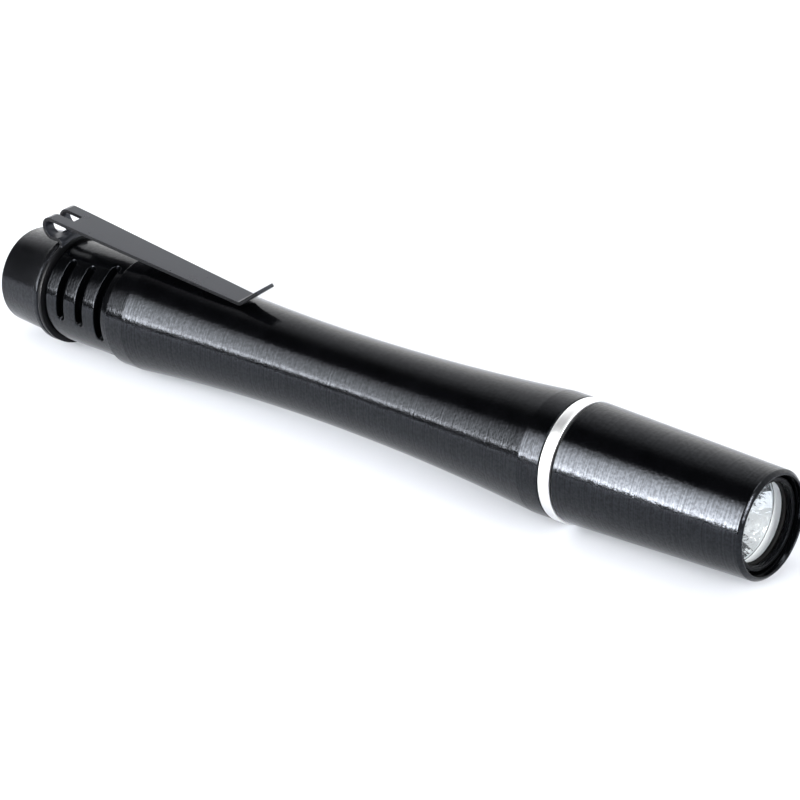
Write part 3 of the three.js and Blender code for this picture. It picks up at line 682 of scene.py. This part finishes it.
def make_barrel():
    """The waisted tube, welded to its slotted grip."""
    rear_arc = [REAR_LAND_FRONT + (WAIST - REAR_LAND_FRONT) * i / ARC_STEPS for i in range(ARC_STEPS)]
    front_arc = [WAIST + (FRONT_LAND_REAR - WAIST) * i / ARC_STEPS for i in range(ARC_STEPS + 1)]
    rear_arc.insert(1, REAR_LAND_FRONT + BREAK)
    front_arc.insert(-1, FRONT_LAND_REAR - BREAK)
    groove_rear, groove_front, groove = NECK_GROOVE
    barrel = turned("barrel_tube", [
        (GRIP_FRONT, GRIP),
        (GRIP_FRONT, REAR_LAND),
        (REAR_LAND_FRONT - BREAK, REAR_LAND),
        *[(station, waist_radius(station)) for station in rear_arc + front_arc],
        (FRONT_LAND_REAR + BREAK, FRONT_LAND),
        (BARREL_FRONT, FRONT_LAND),
        (BARREL_FRONT, FRONT_NECK),
        (BARREL_FRONT + groove_rear, FRONT_NECK),
        (BARREL_FRONT + groove_rear, groove),
        (BARREL_FRONT + groove_front, groove),
        (BARREL_FRONT + groove_front, FRONT_NECK),
        (NECK_END, FRONT_NECK),
        (NECK_END, CELL_BORE),
        (THREAD_END + THREAD_BORE - CELL_BORE, CELL_BORE),
        (THREAD_END, THREAD_BORE),
        (BARREL_REAR, THREAD_BORE),
        (BARREL_REAR, GRIP - REAR_CHAMFER),
        (BARREL_REAR + REAR_CHAMFER, GRIP),
    ], edge=0.12)
    join(barrel, make_grip())
    edit(barrel)
    close_skin()
    leave_edit()
    return shade(barrel)


def make_grip():
    """The grip's wall: cut flat with one set of slots, laid three times and rolled up."""
    column = 2 * math.pi * GRIP * MM / COLUMNS
    share = column * COLUMNS / SLOT_SETS
    rear = TAIL + (BARREL_REAR + REAR_CHAMFER) * MM
    front = TAIL + GRIP_FRONT * MM
    middles = [TAIL + middle * MM for middle in SLOT_MIDDLES]
    half_width = SLOT_WIDTH * MM / 2
    slots = [(middle, columns * column) for middle, columns in zip(middles, SLOT_COLUMNS)]
    grip = start_piece("barrel_grip")
    draw([Vector((rear, 0, -share / 2)), Vector((front, 0, -share / 2))])
    select_whole()
    extrude((0, 0, share))

    def cut(place, direction):
        select_whole()
        bpy.ops.mesh.bisect(plane_co=place, plane_no=direction, threshold=WELD / 10)

    for middle, half_length in slots:
        for side in (-1, 1):
            cut((middle + side * half_width, 0, 0), (1, 0, 0))
            cut((0, 0, side * half_length), (0, 0, 1))

    def in_slot(face):
        centre = face.calc_center_median()
        return any(abs(centre.x - middle) < half_width and abs(centre.z) < half_length
                   for middle, half_length in slots)

    pick(grip, "faces", in_slot)
    extrude((0, SLOT_DEPTH * MM, 0))

    def is_corner(edge):
        here, there = (vert.co for vert in edge.verts)
        upright = abs(here.y - there.y) > SLOT_DEPTH * MM / 2
        return upright and any(
            abs(abs(here.x - middle) - half_width) < WELD and abs(abs(here.z) - half_length) < WELD
            for middle, half_length in slots)

    pick(grip, "edges", is_corner)
    bpy.ops.mesh.bevel(offset=half_width - WELD, offset_type="OFFSET", segments=8, affect="EDGES",
                       clamp_overlap=False)

    def is_rim(edge):
        if len(edge.link_faces) != 2:
            return False
        outside = [abs(face.normal.y) > SLOT_OUTSIDE for face in edge.link_faces]
        return outside[0] != outside[1] and all(abs(vert.co.y) < WELD for vert in edge.verts)

    pick(grip, "edges", is_rim)
    bpy.ops.mesh.bevel(offset=SLOT_RIM * MM, offset_type="OFFSET", segments=3, affect="EDGES",
                       clamp_overlap=False)
    for i in range(COLUMNS // SLOT_SETS):
        cut((0, 0, -share / 2 + i * column), (0, 0, 1))
    select_whole()
    bpy.ops.mesh.remove_doubles(threshold=WELD)
    leave_edit()
    modify(grip, "ARRAY", count=SLOT_SETS, use_relative_offset=False, use_constant_offset=True,
           constant_offset_displace=(0, 0, share), use_merge_vertices=True, merge_threshold=WELD)
    edit(grip)
    bpy.ops.transform.translate(value=(0, 0, -share * (SLOT_SETS - 1) / 2))
    leave_edit()
    modify(grip, "SIMPLE_DEFORM", deform_method="BEND", deform_axis="X", angle=2 * math.pi)
    edit(grip)
    bpy.ops.transform.translate(value=(0, -GRIP * MM, AXIS))
    bpy.ops.transform.rotate(value=SLOT_TURN, orient_axis="X", center_override=(0, 0, AXIS))
    bpy.ops.mesh.remove_doubles(threshold=WELD)
    leave_edit()
    return grip


def make_tail_cap():
    """The conical cap with its flange and its threaded neck."""
    cap = turned("tail_cap_body", [
        (0, BUTTON_HOLE),
        *arc((CAP_CORNER, CAP_END - CAP_CORNER), CAP_CORNER, math.pi, math.pi / 2, steps=6),
        (CAP_CONE_LENGTH, CAP_CONE),
        (CAP_CONE_LENGTH, CAP_FLANGE - CAP_CHAMFER),
        (CAP_CONE_LENGTH + CAP_CHAMFER, CAP_FLANGE),
        (CAP_FLANGE_FRONT - CAP_CHAMFER, CAP_FLANGE),
        (CAP_FLANGE_FRONT, CAP_FLANGE - CAP_CHAMFER),
        (CAP_FLANGE_FRONT, CAP_NECK),
        (CAP_NECK_FRONT, CAP_NECK),
        (CAP_NECK_FRONT, CAP_BORE),
        (CAP_FLOOR, CAP_BORE),
        (CAP_FLOOR, BUTTON_HOLE),
        (0, BUTTON_HOLE),
    ], edge=0.07)
    join(cap, make_thread())
    return shade(cap)


def make_thread():
    """A ridge wound on the cap's neck, its section drawn on step by step round the axis."""
    start, end = THREAD_SPAN
    turns = (end - start) / THREAD_PITCH
    section = [
        (start - THREAD_HALF_WIDTH, THREAD_ROOT),
        (start, THREAD_CREST),
        (start + THREAD_HALF_WIDTH, THREAD_ROOT),
    ]
    thread = start_piece("tail_thread")
    draw([Vector((TAIL + station * MM, out * MM, AXIS)) for station, out in section])
    select_whole()
    bpy.ops.mesh.edge_face_add()
    wind((end - start) * MM, turns)
    return thread


def make_head():
    """The tapered head with its rim and its stepped bore."""
    head = turned("head_tube", [
        (HEAD_REAR, HEAD_SOCKET),
        (HEAD_REAR, HEAD_RADIUS - HEAD_CHAMFER),
        (HEAD_REAR + HEAD_CHAMFER, HEAD_RADIUS),
        (RIM - RIM_CHAMFER, RIM_RADIUS),
        (RIM, RIM_RADIUS - RIM_CHAMFER),
        (RIM, RIM_BORE),
        (RIM - RIM_FLARE, LENS_BORE),
        (LENS_LEDGE, LENS_BORE),
        (LENS_LEDGE, REFLECTOR_BORE),
        (PILL_LEDGE, REFLECTOR_BORE),
        (PILL_LEDGE, PILL_BORE),
        (PILL_REAR, PILL_BORE),
        (PILL_REAR, HEAD_SOCKET),
        (HEAD_REAR, HEAD_SOCKET),
    ], edge=0.1)
    return shade(head)


def make_reflector():
    """A faceted cup with a flange behind the lens."""
    cup = []
    for i in range(FACET_ROWS + 1):
        rise = 1 - i / FACET_ROWS
        out = REFLECTOR_THROAT + (REFLECTOR_MOUTH - REFLECTOR_THROAT) * rise
        cup.append((REFLECTOR_REAR + (REFLECTOR_FRONT - REFLECTOR_REAR) * rise ** REFLECTOR_FLARE, out))
    back = [(station, out + REFLECTOR_WALL) for station, out in reversed(cup) if station < REFLECTOR_WALL_END]
    reflector = turned("reflector_cup", [
        (REFLECTOR_FRONT, REFLECTOR_FLANGE),
        *cup,
        *back,
        (REFLECTOR_FRONT - REFLECTOR_FLANGE_DEPTH, back[-1][1]),
        (REFLECTOR_FRONT - REFLECTOR_FLANGE_DEPTH, REFLECTOR_FLANGE),
        (REFLECTOR_FRONT, REFLECTOR_FLANGE),
    ], columns=FACETS)
    only(reflector)
    bpy.ops.object.shade_flat()
    return reflector


def clip_path():
    """Side line of the clip's strip: up from its ring, back, round the loop, along the blade, up the lip."""
    loop_x, loop_z, loop = CLIP_LOOP
    tip_x, tip_z = CLIP_TIP
    blade = math.hypot(tip_x - loop_x, tip_z - loop_z)
    top = math.atan2(tip_z - loop_z, tip_x - loop_x) + math.acos(loop / blade)
    low = loop_z - loop
    path = [(CLIP_MIDDLE, (CLIP_RING_INNER + CAP_FLANGE) / 2)]
    path += arc((CLIP_MIDDLE - CLIP_BEND, low - CLIP_BEND), CLIP_BEND, 0, math.pi / 2, steps=5)
    path += arc((loop_x, loop_z), loop, 1.5 * math.pi, top, steps=28)
    start_x, start_z = path[-1]
    slope = (tip_z - start_z) / (tip_x - start_x)
    path.append((CLIP_WINDOW_FRONT, start_z + slope * (CLIP_WINDOW_FRONT - start_x)))
    path.append((tip_x - CLIP_LIP_LEAD, tip_z - slope * CLIP_LIP_LEAD))
    path.append((tip_x, tip_z + CLIP_LIP_LIFT))
    for reach in (CLIP_LIP_LEAD, CLIP_LIP_LENGTH):
        path.append((tip_x + reach * math.cos(CLIP_LIP_ANGLE), tip_z + reach * math.sin(CLIP_LIP_ANGLE)))
    return path


def make_clip():
    """One strip drawn along its side line, with the window cut in its loop, joined to its ring."""
    path = clip_path()
    loop_x, loop_z, loop = CLIP_LOOP
    strip = start_piece("clip_strip")
    start = Vector((TAIL + path[0][0] * MM, 0, AXIS + path[0][1] * MM))
    across = (-CLIP_WIDTH / 2, -CLIP_WINDOW / 2, CLIP_WINDOW / 2, CLIP_WIDTH / 2)
    draw([start + Vector((0, side * MM, 0)) for side in across])
    select_whole()
    width = CLIP_WIDTH
    for here, there in zip(path, path[1:]):
        extrude(((there[0] - here[0]) * MM, 0, (there[1] - here[1]) * MM))
        along_blade = (there[0] - CLIP_FRONT) / (CLIP_TIP[0] - CLIP_FRONT)
        on_blade = along_blade > 0 and there[0] > here[0]
        wanted = CLIP_WIDTH + (CLIP_TIP_WIDTH - CLIP_WIDTH) * min(along_blade, 1.0) if on_blade else width
        bpy.ops.transform.resize(value=(1, wanted / width, 1), center_override=(0, 0, AXIS))
        width = wanted

    def in_window(face):
        centre = face.calc_center_median()
        station, rise = (centre.x - TAIL) / MM, (centre.z - AXIS) / MM
        from_middle = math.hypot(station - loop_x, rise - loop_z)
        round_loop = from_middle < loop * CLIP_LOOP_SLACK and station < loop_x
        on_top = rise > loop_z and station < CLIP_WINDOW_FRONT
        return abs(centre.y) < CLIP_WINDOW * MM / 4 and (round_loop or on_top)

    pick(strip, "faces", in_window)
    bpy.ops.mesh.delete(type="FACE")
    close_skin()
    leave_edit()
    modify(strip, "SOLIDIFY", thickness=CLIP_THICKNESS * MM, offset=0, use_even_offset=True)
    clip = ring("clip_spring", CLIP_REAR, CLIP_FRONT, CLIP_RING_INNER, CAP_FLANGE, 0)
    modify(clip, "BOOLEAN", operation="UNION", solver="EXACT", object=strip)
    bpy.data.objects.remove(strip)
    soften(clip, CLIP_EDGE, segments=2)
    return shade(clip)


def make_lens():
    """A flat disc with its edges taken off."""
    edge = radius("lens")
    return shade(turned("lens_disc", [
        (LENS_REAR, 0), (LENS_REAR, edge), (LENS_FRONT, edge), (LENS_FRONT, 0),
    ], edge=0.18))


def make_button():
    """A round button with a dished face, held behind the cap's end by its flange."""
    rear, front = span("tail_button")
    thickness, flange = BUTTON_FLANGE
    corner = (rear + BUTTON_CORNER, BUTTON_RADIUS - BUTTON_CORNER)
    return shade(turned("button_cap", [
        *[(rear + depth, out) for depth, out in BUTTON_DISH],
        *arc(corner, BUTTON_CORNER, math.pi, math.pi / 2, steps=5),
        (front - thickness, BUTTON_RADIUS),
        (front - thickness, flange),
        (front, flange),
        (front, 0),
    ], edge=0.08))


def make_seal(name, node):
    """A round rubber ring that fills a solid's box."""
    rear, front = span(node)
    middle = ((rear + front) / 2, radius(node) - SEAL_WIRE)
    return shade(turned(name, arc(middle, SEAL_WIRE, 0, 2 * math.pi, steps=14)))


def make_cell(name, node):
    """A cell with a groove in its flat end, a bead below its shoulder and a well round its nub."""
    start, end = span(node)
    nub, height = CELL_NUB
    shoulder = end - height
    wall = radius(node)
    return shade(turned(name, [
        (start, 0),
        *[(start + depth, out) for depth, out in CELL_BASE],
        (start, wall),
        *[(shoulder - below, wall - depth) for below, depth in CELL_BEAD],
        (shoulder, wall),
        *[(shoulder - depth, out) for depth, out in CELL_WELL],
        (shoulder, nub),
        (end, nub),
        (end, 0),
    ], edge=0.13))


def make_spring(name, node, rear_radius, front_radius, turns):
    """A coil of round wire, its section drawn on step by step round the axis."""
    rear, front = span(node)
    rear += SPRING_WIRE
    front -= SPRING_WIRE
    bpy.ops.object.select_all(action="DESELECT")
    bpy.ops.mesh.primitive_circle_add(vertices=SPRING_SIDES, radius=SPRING_WIRE * MM * SPRING_FIT,
                                      fill_type="NGON")
    spring = name_new(name)
    edit(spring)
    bpy.ops.transform.translate(value=(TAIL + rear * MM, rear_radius * MM, AXIS))
    wind((front - rear) * MM, turns, (front_radius - rear_radius) * MM)
    return shade(spring)


def wind(advance, turns, growth=0.0):
    """Winds the selected section round the axis, forward by advance and outward by growth in all."""
    steps = round(turns * WINDING_STEPS)
    step = 2 * math.pi / WINDING_STEPS
    grow = growth / steps
    for i in range(steps):
        angle = (i + 1) * step
        extrude((advance / steps, 0, 0))
        bpy.ops.transform.rotate(value=-step, orient_axis="X", center_override=(0, 0, AXIS))
        bpy.ops.transform.translate(value=(0, grow * math.cos(angle), grow * math.sin(angle)))
    select_whole()
    bpy.ops.mesh.normals_make_consistent(inside=False)
    leave_edit()


def make_emitter():
    """A square base with a sunk middle, under a round dome."""
    base_front = LED_REAR + LED_BASE
    low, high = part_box("led_emitter")
    half = (high.y - low.y) / 2
    base = start_piece("emitter_base")
    draw([Vector((low.x, -half, AXIS - half)), Vector((low.x, half, AXIS - half))])
    select_whole()
    extrude((0, 0, 2 * half))
    select_whole()
    extrude((LED_BASE * MM, 0, 0))
    bpy.ops.mesh.inset(thickness=LED_BORDER * MM)
    extrude((-LED_WELL * MM, 0, 0))
    close_skin()
    leave_edit()
    soften(base, LED_EDGE, segments=2)
    dome = turned("emitter_dome", [
        (base_front - LED_DOME_FOOT, LED_DOME),
        *arc((LED_FRONT - LED_DOME, 0), LED_DOME, math.pi / 2, 0, steps=12),
    ], columns=LED_DOME_COLUMNS)
    join(base, dome)
    return shade(base)


# Finishes
black_coat = anodised("black_anodised_turned", (0.0004, 0.00045, 0.0006), (0.001, 0.0011, 0.0014),
                      rough=0.14, line_depth=0.000012, ior=1.345)
tail_coat = anodised("black_anodised_satin", (0.002, 0.0021, 0.0025), (0.005, 0.0052, 0.006),
                     rough=0.17, line_depth=0.000014, ior=1.32)
inner_coat = anodised("black_anodised_matt", (0.001, 0.0011, 0.0013), (0.002, 0.0021, 0.0026),
                      rough=0.28, line_depth=0.00001, ior=1.2)
ring_metal = bright_aluminium("bright_turned_ring")
clip_coat = coated_steel("clip_satin_black")
chrome = mirror_chrome("reflector_plating")
glass = clear_glass("lens_float_glass")
wire = drawn_wire("spring_wire_drawn")
cell_foil = wrapped_cell("cell_foil_wrap")
violet_emitter = emitter_glow("emitter_dome_clear")
board_green = solder_mask("board_solder_mask")
brass = turned_metal("brass_turned", (0.72, 0.5, 0.2), (0.55, 0.36, 0.14), 0.2)
white_plastic = moulded("moulded_white", (0.78, 0.78, 0.75), (0.83, 0.83, 0.8), 0.45)
switch_plastic = moulded("moulded_black", (0.014, 0.014, 0.014), (0.022, 0.022, 0.022), 0.45)
red_sleeve = moulded("lead_sleeve_red", (0.36, 0.015, 0.012), (0.44, 0.025, 0.018), 0.3)
black_sleeve = moulded("lead_sleeve_black", (0.012, 0.012, 0.012), (0.018, 0.018, 0.018), 0.3)
rubber = moulded("seal_rubber_black", (0.003, 0.003, 0.003), (0.006, 0.006, 0.006), 0.6, 1.25)
button_plastic = moulded("button_satin_black", (0.008, 0.008, 0.009), (0.014, 0.014, 0.015), 0.5, 1.35)

# Pieces
dress(make_barrel(), black_coat, "torch_body", "black_anodised", "barrel")
dress(make_head(), black_coat, "torch_body", "black_anodised", "head_shell")
trim = ring("bright_ring", TRIM_REAR, TRIM_FRONT, FRONT_NECK + TRIM_CLEARANCE, radius("trim_ring"), edge=0.16)
dress(shade(trim), ring_metal, "torch_body", "bright_ring", "trim_ring")
bezel_outer = radius("bezel_ring")
bezel = ring("bezel_collar", *span("bezel_ring"), bezel_outer - BEZEL_WALL, bezel_outer, edge=0.12)
dress(shade(bezel), inner_coat, "torch_body", "black_anodised", "bezel_ring")
dress(make_reflector(), chrome, "torch_body", "reflector_chrome", "reflector")
dress(make_lens(), glass, "torch_body", "lens_glass", "lens")
dress(make_clip(), clip_coat, "torch_body", "clip_black", "pocket_clip")
dress(make_tail_cap(), tail_coat, "tail_cap", "black_anodised", "tail_cap")
dress(make_button(), button_plastic, "button", "button_black", "tail_button")
dress(make_seal("lens_seal", "lens_o_ring"), rubber, "torch_body", "seal_rubber", "lens_o_ring")
dress(make_seal("head_seal", "head_o_ring"), rubber, "torch_body", "seal_rubber", "head_o_ring")
dress(make_seal("tail_seal_ring", "tail_o_ring"), rubber, "tail_seal", "seal_rubber", "tail_o_ring")
dress(make_cell("cell_rear", "rear_cell"), cell_foil, "torch_body", "cell_wrap", "rear_cell")
dress(make_cell("cell_front", "front_cell"), cell_foil, "torch_body", "cell_wrap", "front_cell")
dress(make_emitter(), violet_emitter, "torch_body", "emitter", "led_emitter")
dress(make_spring("spring_front", "front_contact_spring", *FRONT_COIL), wire, "torch_body", "spring_steel",
      "front_contact_spring")
dress(make_spring("spring_rear", "rear_contact_spring", *REAR_COIL), wire, "tail_cap", "spring_steel",
      "rear_contact_spring")
switch_spring = make_spring("spring_switch", "switch_spring", *SWITCH_COIL)
dress(switch_spring, wire, "tail_cap", "spring_steel", "switch_spring")
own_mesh(switch_spring)

# Inner solids that need no more shape
for node, material in {
    "led_gasket": white_plastic, "led_board": white_plastic, "led_pill": brass, "driver_board": board_green,
    "led_lead_positive": red_sleeve, "led_lead_negative": black_sleeve, "switch_plunger": white_plastic,
    "switch_housing": switch_plastic, "switch_base": switch_plastic, "switch_retainer": brass,
    "rear_contact": brass,
}.items():
    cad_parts[node].data.materials.clear()
    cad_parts[node].data.materials.append(material)


def empty_tree(owner):
    """The node tree of a material or world, with nothing in it."""
    owner.use_nodes = True
    owner.node_tree.nodes.clear()
    return Socket(owner.node_tree)


def show(tree, shader, kind="ShaderNodeOutputMaterial"):
    """Ends a node tree with the shader that it shows."""
    tree.feed(tree.tree.nodes.new(kind).inputs["Surface"], shader)


def make_floor():
    """A pale floor that looks a little brighter to the camera than to the torch."""
    bpy.ops.object.select_all(action="DESELECT")
    bpy.ops.mesh.primitive_plane_add(size=FLOOR_SIZE)
    floor = name_new("floor")
    material = bpy.data.materials.new("pale_floor")
    tree = empty_tree(material)
    paper = tree.add("ShaderNodeBsdfDiffuse", None, {"Color": FLOOR_COLOUR})
    seen = tree.add("ShaderNodeLightPath", output="Is Camera Ray")
    glow = tree.add("ShaderNodeEmission", None, {"Color": FLOOR_GLOW, "Strength": seen})
    show(tree, tree.add("ShaderNodeAddShader", None, {0: paper, 1: glow}))
    floor.data.materials.append(material)


def make_card():
    """The long card, brightest along its lower edge and toward the torch's head."""
    centre = (CARD_LOW + CARD_HIGH) / 2
    slope = CARD_HIGH - CARD_LOW
    bpy.ops.object.select_all(action="DESELECT")
    bpy.ops.mesh.primitive_plane_add(size=1, location=centre)
    card = name_new("long_card")
    card.scale = (CARD_WIDTH, slope.length, 1)
    card.rotation_euler = (math.atan2(slope.z, slope.y), 0, 0)
    material = bpy.data.materials.new("long_card_light")
    tree = empty_tree(material)
    place = tree.add("ShaderNodeTexCoord", output="UV")
    across = tree.add("ShaderNodeSeparateXYZ", None, {0: place}, 0)
    up = tree.add("ShaderNodeSeparateXYZ", None, {0: place}, 1) + across * CARD_LEAN - CARD_START
    level = (across.shape(CARD_ACROSS) * up.shape(CARD_RISE) + up.shape(CARD_FOOT)) * (up > 0)
    show(tree, tree.add("ShaderNodeEmission", None, {"Strength": CARD_LIGHT * level}))
    card.data.materials.append(material)
    card.visible_camera = False


def make_lamp(name, place, size, power, roll=0.0):
    """A soft lamp that faces the torch, turned about its own beam by roll."""
    data = bpy.data.lights.new(name, "AREA")
    data.shape = "ELLIPSE"
    data.size, data.size_y = size
    data.energy = power
    lamp = bpy.data.objects.new(name, data)
    bpy.context.scene.collection.objects.link(lamp)
    lamp.location = place
    lamp.visible_camera = False
    facing = (-place).to_track_quat("-Z", "Y") @ Quaternion((0, 0, 1), roll)
    lamp.rotation_euler = facing.to_euler()


def make_surround():
    """Bright on the far side and ahead, dark on the near side, and white where the camera sees it."""
    world = bpy.data.worlds.new("studio_surround")
    bpy.context.scene.world = world
    tree = empty_tree(world)
    direction = tree.add("ShaderNodeTexCoord", output="Generated")
    away = tree.add("ShaderNodeSeparateXYZ", None, {0: direction}, 1).shape(SURROUND_STOPS)
    along = tree.add("ShaderNodeSeparateXYZ", None, {0: direction}, 0)
    behind = (along * -1).shape(BEHIND_STOPS)
    level = tree.math("MAXIMUM", away * (1 + behind * BEHIND_GAIN), along.shape(AHEAD_STOPS))
    lit = tree.add("ShaderNodeBackground", None, {"Color": WHITE, "Strength": SURROUND_LIGHT * level})
    white = tree.add("ShaderNodeBackground", None, {"Color": WHITE, "Strength": 1.0})
    seen = tree.add("ShaderNodeLightPath", output="Is Camera Ray")
    both = tree.add("ShaderNodeMixShader", None, {0: seen, 1: lit, 2: white})
    show(tree, both, "ShaderNodeOutputWorld")


def make_camera():
    """The camera that was fitted to the photograph."""
    data = bpy.data.cameras.new("photo_camera")
    data.lens = CAMERA_LENS
    data.sensor_width = CAMERA_SENSOR
    data.clip_start = 0.01
    camera = bpy.data.objects.new("photo_camera", data)
    bpy.context.scene.collection.objects.link(camera)
    level = math.cos(CAMERA_ELEVATION)
    back = Vector((math.sin(CAMERA_AZIMUTH) * level, -math.cos(CAMERA_AZIMUTH) * level,
                   math.sin(CAMERA_ELEVATION)))
    camera.location = CAMERA_PLACE
    camera.rotation_mode = "QUATERNION"
    camera.rotation_quaternion = (-back).to_track_quat("-Z", "Y") @ Quaternion((0, 0, 1), CAMERA_ROLL)
    bpy.context.scene.camera = camera


make_floor()
make_card()
make_lamp("key_lamp", KEY_PLACE, KEY_SIZE, KEY_POWER)
make_lamp("front_lamp", FRONT_PLACE, FRONT_SIZE, FRONT_POWER, FRONT_ROLL)
make_surround()
make_camera()
bpy.context.scene.view_settings.view_transform = "Standard"
